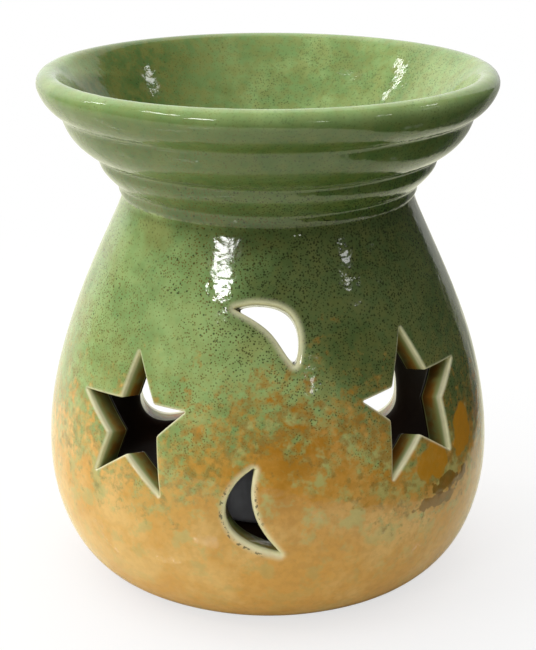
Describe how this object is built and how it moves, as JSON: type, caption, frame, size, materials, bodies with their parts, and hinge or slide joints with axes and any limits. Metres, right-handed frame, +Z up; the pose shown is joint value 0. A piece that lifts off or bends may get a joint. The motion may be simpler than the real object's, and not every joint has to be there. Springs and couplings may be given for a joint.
{
  "type": "essential oil burner",
  "caption": "Glazed ceramic oil burner: a ringed dish on a pear-shaped chamber with star and moon cut-outs, heated by a tea light slid in at the back.",
  "frame": {"origin": "middle of the flat base, on the surface that the burner stands on", "axes": "+Z up along the burner's axis; the front with the stars and moons faces -Y and the doorway for the tea light faces +Y"},
  "size_m": [0.0978, 0.0973, 0.11],
  "materials": {
    "glaze": "glossy reactive glaze, green above running into honey below, on fired clay",
    "cup_metal": "thin pressed foil, bright",
    "wax": "paraffin wax, waxy",
    "wick": "waxed cotton braid",
    "tab_metal": "thin tinned steel"
  },
  "bodies": {
    "burner": {"burner_body": "glaze", "dish": "glaze"},
    "tealight": {"tealight_cup": "cup_metal", "tealight_wax": "wax", "tealight_wick": "wick", "wick_tab": "tab_metal"}
  },
  "joints": [
    {"name": "tealight_exit", "type": "slide", "parent": "burner", "child": "tealight", "axis": [0, 0.9816, 0.1908], "range_m": [0, 0.076]}
  ]
}
